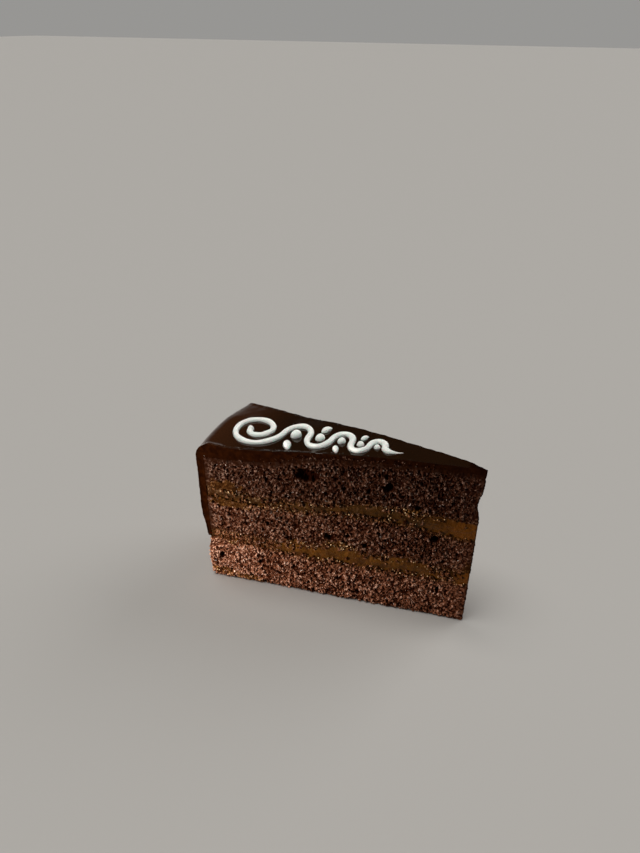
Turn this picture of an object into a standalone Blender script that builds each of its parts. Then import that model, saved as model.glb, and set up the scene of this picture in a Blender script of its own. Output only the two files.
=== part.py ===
"""A slice of chocolate torte with apricot jam, standing on its base.

Three chocolate sponge layers with two jam layers between them, a poured chocolate glaze over the top and
down the rim, and a piped white icing scroll on the glaze.

Metres, +Z up. The slice stands on Z = 0, the rim of the cake towards -X and the point towards +X. The two
cut faces look towards -Y (the front) and +Y (the back). The model is built around the cake's axis and is
moved to the middle of its base at the end.
"""

import math

import bmesh
import bpy
from mathutils import Matrix

MM = 0.001

# The round cake and the slice that is cut from it
SPONGE_RADIUS = 102.5 * MM  # cake's axis to the sponge's rim
HALF_ANGLE = math.radians(10.0)  # one of eighteen slices
POINT_RADIUS = 1.8 * MM  # the point is blunt, this far from the axis
GAP = 0.3 * MM  # clearance between pieces that rest on each other

# Height of the glazed top at a distance from the axis, in millimetres
TOP = ((0, 71.2), (12, 70.9), (36, 69.9), (60, 67.6), (82, 65.1), (106, 63.8))
POINT_SLUMP = 0.9 * MM  # the knife pressed the point's top down by this
POINT_SLUMP_LENGTH = 7.0 * MM
CORNER_DROOP = 1.5 * MM  # the top falls away at the rim's back corner by this
CORNER_DROOP_START = 84.0 * MM  # distance from the axis
CORNER_DROOP_LENGTH = 20.0 * MM
CORNER_DROOP_SHARE = 0.45  # of the way across the slice, from the back cut

# Lower and upper height of each jam layer at a distance from the axis, in millimetres
UPPER_JAM = (
    (0, 40.2, 45.8),
    (12, 40.4, 47.4),
    (24, 42.4, 47.0),
    (37, 42.8, 47.9),
    (50, 42.5, 46.0),
    (64, 40.6, 43.8),
    (82, 40.0, 42.9),
    (106, 41.8, 45.6),
)
LOWER_JAM = (
    (0, 18.6, 24.0),
    (12, 19.2, 23.6),
    (24, 19.2, 25.8),
    (37, 18.6, 24.2),
    (51, 18.5, 25.8),
    (68, 18.6, 22.7),
    (85, 20.2, 22.8),
    (106, 21.5, 24.0),
)
JAM_RECESS = 0.3 * MM  # the cut jam lies this far behind the cut sponge

# How the layers differ at the back cut from the front cut
DRIFT_LENGTH = 47.0 * MM  # length of one wave along the radius
DRIFT_SLOPE = 0.04  # height of the wave for each metre back from the front cut

# Bare foot of the bottom sponge, under the glaze's lower edge
FOOT_BULGE = 1.9 * MM
FOOT_HEIGHT = 19.2 * MM

# Poured chocolate glaze
GLAZE_SIDE = 2.7 * MM
GLAZE_THIN = 2.4 * MM  # on top, towards the point
GLAZE_POOL = 3.0 * MM  # added on top where it pooled near the rim
POOL_START = 60.0 * MM  # distance from the axis where the pool begins
POOL_LENGTH = 22.0 * MM
GLAZE_SHOULDER = 4.8 * MM  # outer rounding between top and side
GLAZE_INNER_SHOULDER = 0.6 * MM
GLAZE_EDGE_HEIGHT = 20.8 * MM  # lower edge on the rim
GLAZE_EDGE_WAVE = 1.0 * MM
GLAZE_EDGE_WAVES = 1.4  # waves of the lower edge between the two cuts
GLAZE_FOOT_THICKNESS = 0.9 * MM
GLAZE_TAPER_HEIGHT = 14.0 * MM  # the side thins to its lower edge over this height

# Piped icing scroll, laid along the slice's middle line
BEAD_RADIUS = 1.15 * MM
BEAD_FLATNESS = 0.6  # height of the bead over its width
BEAD_STEP = 1.7 * MM  # distance between points along a stroke
BEAD_TIP = 0.6  # radius of a stroke's first and last ring, over the bead's
SPIRAL_CENTRE = 87.0 * MM  # from the axis
SPIRAL_OUTER = 10.6 * MM
SPIRAL_INNER = 2.6 * MM
SPIRAL_TURNS = 1.5
FIRST_ARC = 5.2 * MM  # half the length of the wave's first arc
ARC_SWING = 1.3  # how far an arc swings out, over half its length
ARC_RATIO = 0.86  # each arc of the wave is this much smaller than the one before
ARC_COUNT = 5
TAIL_LENGTH = 7.0 * MM
TAIL_SWEEP = 0.2  # how far the tail swings out, over its length
PEARL_SIZE = 0.8  # over half the arc's length
LEAF_LENGTH = 1.1  # over half the arc's length
LEAF_WIDTH = 0.58  # over the leaf's length
LEAF_TAPER = 0.7  # how much narrower the leaf's drawn-off end is
LEAF_HEADING = math.radians(118)  # from the direction away from the axis
SCROLL_SHIFT = -1.2 * MM  # the scroll lies a little nearer the front cut

# Mesh cells of a layer along the radius and across the slice, and up for each layer
LENGTH_CELLS = 21
CROSS_CELLS = 5
BOTTOM_CELLS = 6
SPONGE_CELLS = 2
JAM_CELLS = 1
GLAZE_SIDE_CELLS = 7
GLAZE_SHOULDER_CELLS = 4

COLOURS = {
    # colour, roughness
    "sponge": ((0.07, 0.029, 0.015), 0.9),
    "jam": ((0.12, 0.045, 0.006), 0.2),
    "chocolate": ((0.02, 0.0075, 0.0022), 0.15),
    "icing": ((0.82, 0.84, 0.8), 0.4),
}


def mix(a, b, share):
    return a + (b - a) * share


def smooth_step(x):
    x = min(max(x, 0.0), 1.0)
    return x * x * (3.0 - 2.0 * x)


def curve_through(rows, r, column):
    """The value of a column at distance r from the axis, on a smooth curve through the rows."""
    at = r / MM
    last = len(rows) - 1
    index = 0
    while index < last - 1 and at > rows[index + 1][0]:
        index += 1
    start, end = rows[index], rows[index + 1]
    before, after = rows[max(index - 1, 0)], rows[min(index + 2, last)]
    span = end[0] - start[0]
    share = (at - start[0]) / span
    start_slope = (end[column] - before[column]) / (end[0] - before[0]) * span
    end_slope = (after[column] - start[column]) / (after[0] - start[0]) * span
    rise = end[column] - start[column]
    bend = (start_slope - rise) * share * (1.0 - share) ** 2
    bend += (rise - end_slope) * (1.0 - share) * share**2
    return (mix(start[column], end[column], share) + bend) * MM


# Heights in the slice. r is the distance from the cake's axis, and across is the distance from the slice's
# middle line, towards the back cut.


def drift(r, across, phase):
    """A wave that is level at the front cut and grows towards the back cut."""
    back = across + r * math.sin(HALF_ANGLE)
    return DRIFT_SLOPE * back * math.sin(2 * math.pi * r / DRIFT_LENGTH + phase)


def glaze_top(r, across):
    slump = POINT_SLUMP * smooth_step(1.0 - r / POINT_SLUMP_LENGTH)
    from_back = 0.5 - across / (2 * r * math.sin(HALF_ANGLE))
    droop = CORNER_DROOP * smooth_step((r - CORNER_DROOP_START) / CORNER_DROOP_LENGTH)
    droop *= smooth_step(1.0 - from_back / CORNER_DROOP_SHARE)
    return curve_through(TOP, r, 1) - slump - droop + 0.3 * drift(r, across, 0.8)


def glaze_underside(r, across):
    pool = GLAZE_POOL * smooth_step((r - POOL_START) / POOL_LENGTH)
    return glaze_top(r, across) - GLAZE_THIN - pool


def jam_height(rows, column, phase, shift):
    """A function for the height of one face of a jam layer, shifted up by shift."""
    return lambda r, across: curve_through(rows, r, column) + drift(r, across, phase) + shift


# Building blocks


def new_material(name):
    colour, roughness = COLOURS[name]
    material = bpy.data.materials.new(name)
    material.use_nodes = True
    shader = material.node_tree.nodes["Principled BSDF"]
    shader.inputs["Base Color"].default_value = (*colour, 1.0)
    shader.inputs["Roughness"].default_value = roughness
    shader.inputs["Metallic"].default_value = 0.0
    material.diffuse_color = (*colour, 1.0)
    return material


def add_object(name, shape, material, collection):
    """A new object from a bmesh, shaded smooth but for its sharp edges."""
    mesh = bpy.data.meshes.new(name)
    shape.to_mesh(mesh)
    shape.free()
    mesh.materials.append(material)
    mesh.shade_smooth()
    mesh.set_sharp_from_angle(angle=math.radians(40))
    made = bpy.data.objects.new(name, mesh)
    collection.objects.link(made)


def add_bent_box(name, cells, place, material, collection):
    """A box, cut into cells, whose points (u, v, w), each from 0 to 1, are moved to place(u, v, w). u runs
    from the rim to the point, v from the front cut to the back cut, and w up or outwards."""
    shape = bmesh.new()
    bmesh.ops.create_cube(shape, size=1.0, matrix=Matrix.Translation((0.5, 0.5, 0.5)))
    for axis, count in enumerate(cells):
        normal = [float(axis == other) for other in range(3)]
        for cut in range(1, count):
            plane = [value * cut / count for value in normal]
            everything = shape.verts[:] + shape.edges[:] + shape.faces[:]
            bmesh.ops.bisect_plane(shape, geom=everything, plane_co=plane, plane_no=normal)
    for vertex in shape.verts:
        vertex.co = place(*vertex.co)
    add_object(name, shape, material, collection)


def across_slice(r, v, recess=0.0):
    """Distance from the middle line of the point at share v between the cuts, each moved in by recess."""
    return (2.0 * v - 1.0) * (r * math.sin(HALF_ANGLE) - recess)


def along_slice(r, across):
    """X of the point at distance r from the axis. The rim is towards -X."""
    return -math.sqrt(r * r - across * across)


# Sponge and jam


def add_layer(name, up_cells, lower, upper, rim, recess, material, collection):
    """A layer between the heights lower(r, across) and upper(r, across), out to the radius rim(z)."""

    def place(u, v, w):
        r = mix(SPONGE_RADIUS - recess, POINT_RADIUS + recess, u)
        across = across_slice(r, v, recess)
        z = mix(lower(r, across), upper(r, across), w)
        bulged = r + (rim(z) - SPONGE_RADIUS) * (1.0 - u)
        across = across_slice(bulged, v, recess)
        return along_slice(bulged, across), across, z

    add_bent_box(name, (LENGTH_CELLS, CROSS_CELLS, up_cells), place, material, collection)


def straight_rim(_height):
    return SPONGE_RADIUS


def bulging_foot(z):
    """The bare foot of the cake swells out between the base and the glaze's lower edge."""
    share = min(max(z / FOOT_HEIGHT, 0.0), 1.0)
    return SPONGE_RADIUS + FOOT_BULGE * math.sqrt(abs(math.sin(math.pi * share)))


def build_layers(sponge, jam, collection):
    half_gap = GAP / 2
    upper_phase, lower_phase = 0.0, 2.1

    def base(_r, _across):
        return 0.0

    def sponge_roof(r, across):
        return glaze_underside(r, across) - GAP

    add_layer(
        "sponge_bottom", BOTTOM_CELLS, base, jam_height(LOWER_JAM, 1, lower_phase, -half_gap),
        bulging_foot, 0.0, sponge, collection,
    )
    add_layer(
        "jam_lower", JAM_CELLS, jam_height(LOWER_JAM, 1, lower_phase, half_gap),
        jam_height(LOWER_JAM, 2, lower_phase, -half_gap), straight_rim, JAM_RECESS, jam, collection,
    )
    add_layer(
        "sponge_middle", SPONGE_CELLS, jam_height(LOWER_JAM, 2, lower_phase, half_gap),
        jam_height(UPPER_JAM, 1, upper_phase, -half_gap), straight_rim, 0.0, sponge, collection,
    )
    add_layer(
        "jam_upper", JAM_CELLS, jam_height(UPPER_JAM, 1, upper_phase, half_gap),
        jam_height(UPPER_JAM, 2, upper_phase, -half_gap), straight_rim, JAM_RECESS, jam, collection,
    )
    add_layer(
        "sponge_top", SPONGE_CELLS, jam_height(UPPER_JAM, 2, upper_phase, half_gap),
        sponge_roof, straight_rim, 0.0, sponge, collection,
    )


# Glaze


def glaze_edge(v):
    """Height of the glaze's lower edge on the rim, which ran down unevenly."""
    return GLAZE_EDGE_HEIGHT + GLAZE_EDGE_WAVE * math.sin(2 * math.pi * GLAZE_EDGE_WAVES * v)


def glaze_path(u, v, outer):
    """Radius and height on the glaze's outer or inner face, from the lower edge on the rim (u = 0), over
    the shoulder, to the point (u = 1)."""
    inner_rim = SPONGE_RADIUS + GAP
    shoulder = GLAZE_SHOULDER if outer else GLAZE_INNER_SHOULDER
    rim = inner_rim + GLAZE_SIDE if outer else inner_rim
    height = glaze_top if outer else glaze_underside
    turn = rim - shoulder
    shoulder_z = height(turn, across_slice(turn, v)) - shoulder
    at = u * (GLAZE_SIDE_CELLS + GLAZE_SHOULDER_CELLS + LENGTH_CELLS)
    if at <= GLAZE_SIDE_CELLS:
        z = mix(glaze_edge(v), shoulder_z, at / GLAZE_SIDE_CELLS)
        fullness = smooth_step((z - glaze_edge(v)) / GLAZE_TAPER_HEIGHT)
        thickness = mix(GLAZE_FOOT_THICKNESS, GLAZE_SIDE, fullness)
        return (inner_rim + thickness if outer else inner_rim), z
    at -= GLAZE_SIDE_CELLS
    if at <= GLAZE_SHOULDER_CELLS:
        angle = math.pi / 2 * at / GLAZE_SHOULDER_CELLS
        return turn + shoulder * math.cos(angle), shoulder_z + shoulder * math.sin(angle)
    at -= GLAZE_SHOULDER_CELLS
    r = mix(turn, POINT_RADIUS, at / LENGTH_CELLS)
    return r, height(r, across_slice(r, v))


def build_glaze(material, collection):
    def place(u, v, w):
        inner_r, inner_z = glaze_path(u, v, outer=False)
        outer_r, outer_z = glaze_path(u, v, outer=True)
        r = mix(inner_r, outer_r, w)
        across = across_slice(r, v)
        return along_slice(r, across), across, mix(inner_z, outer_z, w)

    length = GLAZE_SIDE_CELLS + GLAZE_SHOULDER_CELLS + LENGTH_CELLS
    add_bent_box("chocolate_glaze", (length, CROSS_CELLS, 1), place, material, collection)


# Piped icing. Its strokes are planned flat, as (distance from the axis along the middle line, distance
# from the middle line towards the back), and are then laid on the glaze.


def arc_plan():
    """(centre's distance from the axis, half length, side) for each arc of the wave."""
    arcs = []
    edge = SPIRAL_CENTRE - SPIRAL_OUTER
    half = FIRST_ARC
    side = 1
    for _ in range(ARC_COUNT):
        arcs.append((edge - half, half, side))
        edge -= 2 * half
        half *= ARC_RATIO
        side = -side
    return arcs


def turn_points(centre, start, end, first_angle, last_angle, swing=1.0):
    """Points that turn about (centre, 0), from radius start to radius end. swing stretches the turn
    sideways."""
    count = round(abs(last_angle - first_angle) * (start + end) / 2 / BEAD_STEP)
    points = []
    for step in range(count + 1):
        angle = mix(first_angle, last_angle, step / count)
        radius = mix(start, end, step / count)
        points.append((centre + radius * math.cos(angle), swing * radius * math.sin(angle)))
    return points


def stem_points():
    """The main stroke: a spiral, then a wave of shrinking arcs, then a tail."""
    wound = 2 * math.pi * SPIRAL_TURNS
    points = turn_points(SPIRAL_CENTRE, SPIRAL_INNER, SPIRAL_OUTER, math.pi + wound, math.pi)
    for centre, half, side in arc_plan():
        points += turn_points(centre, half, half, 0.0, side * math.pi, ARC_SWING)[1:]
    centre, half, side = arc_plan()[-1]
    steps = round(TAIL_LENGTH / BEAD_STEP)
    for step in range(1, steps + 1):
        share = step / steps
        sweep = -side * TAIL_SWEEP * TAIL_LENGTH * math.sin(math.pi * share)
        points.append((centre - half - TAIL_LENGTH * share**1.4, sweep))
    return points


def lay_on_glaze(shape, flatness, lowest):
    """Flattens a shape that was modelled flat and sets it on the glaze, a gap above it. The plan is
    mirrored on the way, because the rim is towards -X, so its faces are turned round."""
    for vertex in shape.verts:
        along, across = vertex.co.x, vertex.co.y + SCROLL_SHIFT
        height = glaze_top(math.hypot(along, across), across) + GAP
        vertex.co = (-along, across, height + (vertex.co.z - lowest) * flatness)
    bmesh.ops.reverse_faces(shape, faces=shape.faces[:])


def add_stroke(name, points, material, collection):
    """A piped bead along the points, with rounded ends."""
    curve = bpy.data.curves.new(name, "CURVE")
    curve.dimensions = "3D"
    curve.bevel_depth = BEAD_RADIUS
    curve.bevel_resolution = 2
    curve.use_fill_caps = True
    spline = curve.splines.new("POLY")
    spline.points.add(len(points) - 1)
    for point, (along, across) in zip(spline.points, points):
        point.co = (along, across, 0.0, 1.0)
    for end in (spline.points[0], spline.points[-1]):
        end.radius = BEAD_TIP
    path = bpy.data.objects.new(name + "_path", curve)
    collection.objects.link(path)
    graph = bpy.context.evaluated_depsgraph_get()
    mesh = bpy.data.meshes.new_from_object(path.evaluated_get(graph))
    shape = bmesh.new()
    shape.from_mesh(mesh)
    bpy.data.objects.remove(path)
    bpy.data.meshes.remove(mesh)
    bmesh.ops.remove_doubles(shape, verts=shape.verts[:], dist=0.01 * MM)
    lay_on_glaze(shape, BEAD_FLATNESS, -BEAD_RADIUS)
    add_object(name, shape, material, collection)


def add_drop(name, centre, across, length, width, heading, material, collection):
    """One squeeze of the piping bag: a pearl, or a leaf drawn off towards heading where it is longer than
    wide."""
    shape = bmesh.new()
    bmesh.ops.create_uvsphere(shape, u_segments=10, v_segments=6, radius=0.5)
    turn = Matrix.Rotation(heading, 3, "Z")
    taper = LEAF_TAPER if length > width else 0.0
    for vertex in shape.verts:
        breadth = width * (1.0 - taper * max(2.0 * vertex.co.x, 0.0))
        vertex.co = turn @ Matrix.Diagonal((length, breadth, breadth)) @ vertex.co
        vertex.co.x += centre
        vertex.co.y += across
    lay_on_glaze(shape, BEAD_FLATNESS, -width / 2)
    add_object(name, shape, material, collection)


def build_scroll(material, collection):
    """The stem, a pearl in each arc of its wave, and a leaf on the open side of each arc but the last."""
    add_stroke("icing_stem", stem_points(), material, collection)
    for index, (centre, half, side) in enumerate(arc_plan(), start=1):
        size = PEARL_SIZE * half
        add_drop(f"icing_pearl_{index}", centre, 0.0, size, size, 0.0, material, collection)
        if index < ARC_COUNT:
            length = LEAF_LENGTH * half
            across = -side * (0.8 * half + 0.55 * length)
            width = LEAF_WIDTH * length
            heading = -side * LEAF_HEADING
            add_drop(f"icing_leaf_{index}", centre, across, length, width, heading, material, collection)


# The whole slice


def centre_on_base(collection):
    """Moves the slice so that the origin is in the middle of its base's box."""
    points = [vertex.co for made in collection.objects for vertex in made.data.vertices]
    middle = [(min(p[i] for p in points) + max(p[i] for p in points)) / 2 for i in (0, 1)]
    shift = Matrix.Translation((-middle[0], -middle[1], 0.0))
    for made in collection.objects:
        made.data.transform(shift)


def main():
    for old in list(bpy.data.objects):
        bpy.data.objects.remove(old)
    collection = bpy.data.collections.new("torte_slice")
    bpy.context.scene.collection.children.link(collection)
    materials = {name: new_material(name) for name in COLOURS}
    build_layers(materials["sponge"], materials["jam"], collection)
    build_glaze(materials["chocolate"], collection)
    build_scroll(materials["icing"], collection)
    centre_on_base(collection)


main()
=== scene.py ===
"""Looks of a slice of chocolate torte with apricot jam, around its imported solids.

Metres, +Z up. The rim of the cake is towards -X, the slice's point towards +X, and the front cut looks
towards -Y. The order is the baker's: sponge, jam, glaze, icing, and the crumbs that the knife left.
"""

import math
import random

import bmesh
import bpy
from mathutils import Matrix, Vector, noise
from mathutils.bvhtree import BVHTree


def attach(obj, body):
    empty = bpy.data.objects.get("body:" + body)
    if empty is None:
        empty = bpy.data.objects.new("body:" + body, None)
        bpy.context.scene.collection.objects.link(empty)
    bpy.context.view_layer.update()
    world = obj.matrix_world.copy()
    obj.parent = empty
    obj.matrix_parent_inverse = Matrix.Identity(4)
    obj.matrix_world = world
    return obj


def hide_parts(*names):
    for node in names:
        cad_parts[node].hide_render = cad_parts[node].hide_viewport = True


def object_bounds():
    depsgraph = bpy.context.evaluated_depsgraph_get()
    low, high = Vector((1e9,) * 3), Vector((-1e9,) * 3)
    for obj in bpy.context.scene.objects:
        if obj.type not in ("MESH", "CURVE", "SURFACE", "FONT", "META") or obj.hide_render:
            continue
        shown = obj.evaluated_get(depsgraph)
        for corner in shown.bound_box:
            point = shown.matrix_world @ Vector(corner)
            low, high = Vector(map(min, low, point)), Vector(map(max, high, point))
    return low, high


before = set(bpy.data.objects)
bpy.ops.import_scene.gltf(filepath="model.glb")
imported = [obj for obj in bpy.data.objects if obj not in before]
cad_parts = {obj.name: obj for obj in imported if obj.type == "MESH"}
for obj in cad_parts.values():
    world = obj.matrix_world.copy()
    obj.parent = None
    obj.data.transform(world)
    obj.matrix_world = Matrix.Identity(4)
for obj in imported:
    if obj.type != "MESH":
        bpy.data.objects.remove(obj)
cad_low, cad_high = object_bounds()


# ---- Camera ------------------------------------------------------------------------------------------
# A phone held over the front cut, a little nearer the point than the rim, looking down at the slice.

CAMERA_PLACE = (0.0737, -0.1844, 0.1971)
CAMERA_TURN = math.radians(24.04)  # to the left of straight ahead
CAMERA_TILT = math.radians(58.19)  # up from straight down
CAMERA_ROLL = math.radians(0.368)
CAMERA_LENS = 27.97  # in mm, for a picture whose longer side is CAMERA_SENSOR
CAMERA_SENSOR = 36.0


def into_scene(thing):
    """Links an object into the scene."""
    bpy.context.scene.collection.objects.link(thing)
    return thing


camera = into_scene(bpy.data.objects.new("camera", bpy.data.cameras.new("camera")))
camera.data.sensor_width = CAMERA_SENSOR
camera.data.lens = CAMERA_LENS
camera.data.clip_start = 0.01
camera_turn = Matrix.Rotation(CAMERA_TURN, 4, "Z")
camera_tilt = Matrix.Rotation(CAMERA_TILT, 4, "X")
camera_roll = Matrix.Rotation(CAMERA_ROLL, 4, "Z")
camera.matrix_world = Matrix.Translation(CAMERA_PLACE) @ camera_turn @ camera_tilt @ camera_roll
bpy.context.scene.camera = camera


# ---- Table and light ---------------------------------------------------------------------------------
# A plain pale table in a pale room with a dark ceiling, which the glaze reflects. Two wide, soft lamps
# light everything. Three small near ones light the slice alone: they rake over its cuts and its rim.

TABLE_COLOUR = (0.54, 0.53, 0.515)
TABLE_REACH = 6.0  # from the slice to the table's edge
TABLE_GAP = 0.0001  # keeps the table just clear of the slice's base
WALL_COLOUR = (0.31, 0.305, 0.295)
CEILING_COLOUR = (0.02, 0.02, 0.02)
WALL_END, CEILING_START = 0.18, 0.4  # the sines of the angles above level
LIT_POINT = Vector((0.0, 0.0, 0.03))
NEAR_LAMP_COLOUR = (1.0, 0.9, 0.79)

bpy.context.scene.view_settings.view_transform = "Standard"


class Shade:
    """One socket in a node tree. Arithmetic on it adds Math nodes."""

    def __init__(self, tree, socket):
        self.tree = tree
        self.socket = socket

    @classmethod
    def node(cls, tree, kind, settings=(), sockets=(), output=0):
        """A new node with its settings made and then its sockets filled or linked."""
        made = tree.nodes.new("ShaderNode" + kind)
        for key, value in dict(settings).items():
            setattr(made, key, value)
        for key, value in dict(sockets).items():
            if isinstance(value, Shade):
                tree.links.new(value.socket, made.inputs[key])
            else:
                made.inputs[key].default_value = value
        return cls(tree, made.outputs[output])

    def maths(self, operation, first, second, clamp=False):
        settings = {"operation": operation, "use_clamp": clamp}
        return Shade.node(self.tree, "Math", settings, {0: first, 1: second})

    def __add__(self, other):
        return self.maths("ADD", self, other)

    __radd__ = __add__

    def __sub__(self, other):
        return self.maths("SUBTRACT", self, other)

    def __rsub__(self, other):
        return self.maths("SUBTRACT", other, self)

    def __mul__(self, other):
        return self.maths("MULTIPLY", self, other)

    __rmul__ = __mul__

    def __abs__(self):
        return self.maths("ABSOLUTE", self, 0.0)

    def clamped(self):
        return self.maths("ADD", self, 0.0, clamp=True)

    def between(self, low, high):
        """0 below low and 1 above high, with a smooth rise between them."""
        sockets = {"Value": self, "From Min": low, "From Max": high}
        return Shade.node(self.tree, "MapRange", {"interpolation_type": "SMOOTHSTEP"}, sockets)


def blend(tree, share, first, second):
    """A colour between two, by share. Each is a Shade, or a colour of three numbers."""
    first, second = (end if isinstance(end, Shade) else (*end, 1.0) for end in (first, second))
    return Shade.node(tree, "Mix", {"data_type": "RGBA"}, {0: share, 6: first, 7: second}, output=2)


table_mesh = bpy.data.meshes.new("table")
table_shape = bmesh.new()
bmesh.ops.create_grid(table_shape, x_segments=1, y_segments=1, size=TABLE_REACH)
table_shape.to_mesh(table_mesh)
table_shape.free()
table = into_scene(bpy.data.objects.new("table", table_mesh))
table.location.z = -TABLE_GAP
table_paint = bpy.data.materials.new("pale_table")
table_paint.use_nodes = True
table_shader = table_paint.node_tree.nodes["Principled BSDF"]
table_shader.inputs["Base Color"].default_value = (*TABLE_COLOUR, 1.0)
table_shader.inputs["Roughness"].default_value = 0.8
table_shader.inputs["Specular IOR Level"].default_value = 0.1
table_mesh.materials.append(table_paint)

room = bpy.data.worlds.new("room")
room.use_nodes = True
room_tree = room.node_tree
upward = Shade.node(room_tree, "SeparateXYZ", (), {0: Shade.node(room_tree, "TexCoord")}, output=2)
room_colour = blend(room_tree, upward.between(WALL_END, CEILING_START), WALL_COLOUR, CEILING_COLOUR)
room_tree.links.new(room_colour.socket, room_tree.nodes["Background"].inputs["Color"])
bpy.context.scene.world = room

spared = bpy.data.collections.new("spared_by_near_lamps")
spared.objects.link(table)
spared.collection_objects[0].light_linking.link_state = "EXCLUDE"


def hang_lamp(name, kind, place, power, colour, **sizes):
    """A soft lamp at place, turned to the slice."""
    light = bpy.data.lights.new(name, kind)
    light.energy = power
    light.color = colour
    for key, value in sizes.items():
        setattr(light, key, value)
    lamp = into_scene(bpy.data.objects.new(name, light))
    lamp.location = place
    lamp.rotation_euler = (LIT_POINT - Vector(place)).to_track_quat("-Z", "Y").to_euler()
    lamp.visible_camera = False
    return lamp


hang_lamp("lamp_front", "SUN", (-0.5, -0.3, 2.2), 1.9, (1.0, 0.97, 0.92), angle=math.radians(35))
hang_lamp("lamp_back", "SUN", (1.0, 1.3, 1.3), 0.75, (1.0, 0.98, 0.96), angle=math.radians(40))
for lamp_name, place, power, size in (
    ("lamp_near_front", (-0.11, -0.12, 0.03), 0.6, 0.03),
    ("lamp_near_back", (0.0, 0.17, 0.06), 0.35, 0.06),
    ("lamp_over_rim", (-0.075, -0.02, 0.17), 0.035, 0.05),
):
    near_lamp = hang_lamp(lamp_name, "AREA", place, power, NEAR_LAMP_COLOUR, shape="DISK", size=size)
    near_lamp.light_linking.receiver_collection = spared
    # Only the front one shows as a glint.
    near_lamp.visible_glossy = lamp_name == "lamp_near_front"


# ---- Three sponge layers -----------------------------------------------------------------------------
# Moist chocolate sponge, baked as one round and sawn level into three. The knife tore the two cut faces
# open, so they show rounded crumbs, fine pores and a few large holes. The foot below the glaze is bare.

MM = 0.001
HALF_ANGLE = math.radians(10.0)  # the slice is one eighteenth of the round
POINT_RADIUS = 1.8 * MM  # the blunt point's distance from the round's axis
SPONGE_RADIUS = 102.5 * MM
AXIS_X = cad_high.x + POINT_RADIUS * math.cos(HALF_ANGLE)
CRUMB_STEP = 0.26 * MM  # mesh step on the torn faces
FOOT_BULGE = 1.9 * MM
FOOT_HEIGHT = 19.2 * MM
TUCK = 1.1 * MM  # the bottom edge is rounded over this height
GLAZE_EDGE_HEIGHT = 20.8 * MM
GLAZE_PRESS = 0.8 * MM  # how near the rim the glaze presses the sponge flat
POINT_CHIP = 1.25 * MM  # how far the top sponge's point has crumbled away, and where
POINT_CHIP_HEIGHT = 56.0 * MM
THIN_POINT = 14.0 * MM  # nearer the axis than this, the slice is too thin for deep pores
RAGGED_EDGE = 1.6 * MM  # height over which a layer's edge along the jam is uneven
CRUMB_SPACING = 0.85  # in mm, as are the two kinds of pore
PORE_SPACING = 1.6
DEEP_PORE_SPACING = 4.8
BLUNT_STEPS = 3  # mesh steps round the slice's point
ABOVE_ALL, BELOW_ALL = 0.1, -0.01  # heights over and under the whole slice

# Large holes in the front cut: distance from the axis, height, half width, half height, depth, in mm
FRONT_HOLES = (
    (63.4, 57.4, 4.4, 2.8, 2.4),
    (33.4, 57.5, 1.5, 2.2, 2.2),
    (15.5, 37.8, 1.5, 1.3, 3.0),
    (55.0, 30.5, 2.1, 1.2, 3.0),
    (47.8, 32.2, 1.0, 0.9, 2.2),
    (40.8, 28.8, 1.2, 1.0, 2.2),
    (23.0, 50.2, 1.3, 0.9, 2.2),
    (80.9, 11.3, 1.4, 1.2, 2.6),
    (97.1, 11.6, 0.9, 2.1, 2.4),
    (49.8, 10.2, 1.6, 0.9, 2.2),
    (35.0, 19.2, 1.2, 0.8, 2.0),
    (12.5, 13.4, 0.7, 1.8, 1.8),
)

# Where the knife dragged jam over the crumb of the front cut: distance from the axis, height, half width
# and half height in mm, how smoothly the jam covers the crumb, and how many beads of jam lie there
# The golden crumb and pale beads in these stains are partly painted glints.
JAM_STAINS = (
    (95.5, 46.4, 6.5, 2.4, 0.9, 0),
    (93.0, 39.2, 8.0, 2.2, 0.85, 2),
    (50.0, 27.2, 7.0, 1.7, 0.1, 20),
    (66.0, 24.6, 6.0, 1.4, 0.1, 8),
    (26.0, 48.6, 9.0, 1.2, 0.1, 14),
    (3.0, 26.0, 3.5, 2.5, 0.6, 0),
    (93.9, 18.7, 1.8, 1.0, 0.3, 3),
    (97.0, 3.0, 5.0, 1.8, 0.0, 2),
    (87.0, 1.4, 6.0, 1.6, 0.0, 2),
)

noise.seed_set(3)  # the clock seeds it otherwise, and the crumb would differ from run to run
hole_dice = random.Random(18)
BACK_HOLES = [
    (
        hole_dice.uniform(14.0, 98.0), hole_dice.uniform(5.0, 60.0), hole_dice.uniform(0.9, 2.4),
        hole_dice.uniform(0.8, 1.9), hole_dice.uniform(1.6, 3.0),
    )
    for _ in range(14)
]

skins = {}  # a search tree of each solid that has been measured, by its node


def first_hit(node, start, heading):
    """Where a line from start first meets a solid of the frame."""
    if node not in skins:
        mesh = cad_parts[node].data
        corners = [vertex.co for vertex in mesh.vertices]
        skins[node] = BVHTree.FromPolygons(corners, [face.vertices[:] for face in mesh.polygons])
    return skins[node].ray_cast(Vector(start), Vector(heading))[0]


def polar(r, angle):
    """The point at distance r from the round's axis, angle from the middle line towards the back."""
    return AXIS_X - r * math.cos(angle), r * math.sin(angle)


def from_axis(place):
    """A point's distance from the round's axis."""
    return math.hypot(AXIS_X - place.x, place.y)


def layer_height(node, x, y, upper):
    """Height of a layer's upper or lower face at (x, y), read a little inside its edges."""
    r = min(max(math.hypot(AXIS_X - x, y), 5.0 * MM), SPONGE_RADIUS - 1.5 * MM)
    widest = HALF_ANGLE - 0.5 * MM / r
    angle = min(max(math.atan2(y, AXIS_X - x), -widest), widest)
    x, y = polar(r, angle)
    start, heading = (ABOVE_ALL, -1.0) if upper else (BELOW_ALL, 1.0)
    return first_hit(node, (x, y, start), (0.0, 0.0, heading)).z


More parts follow.
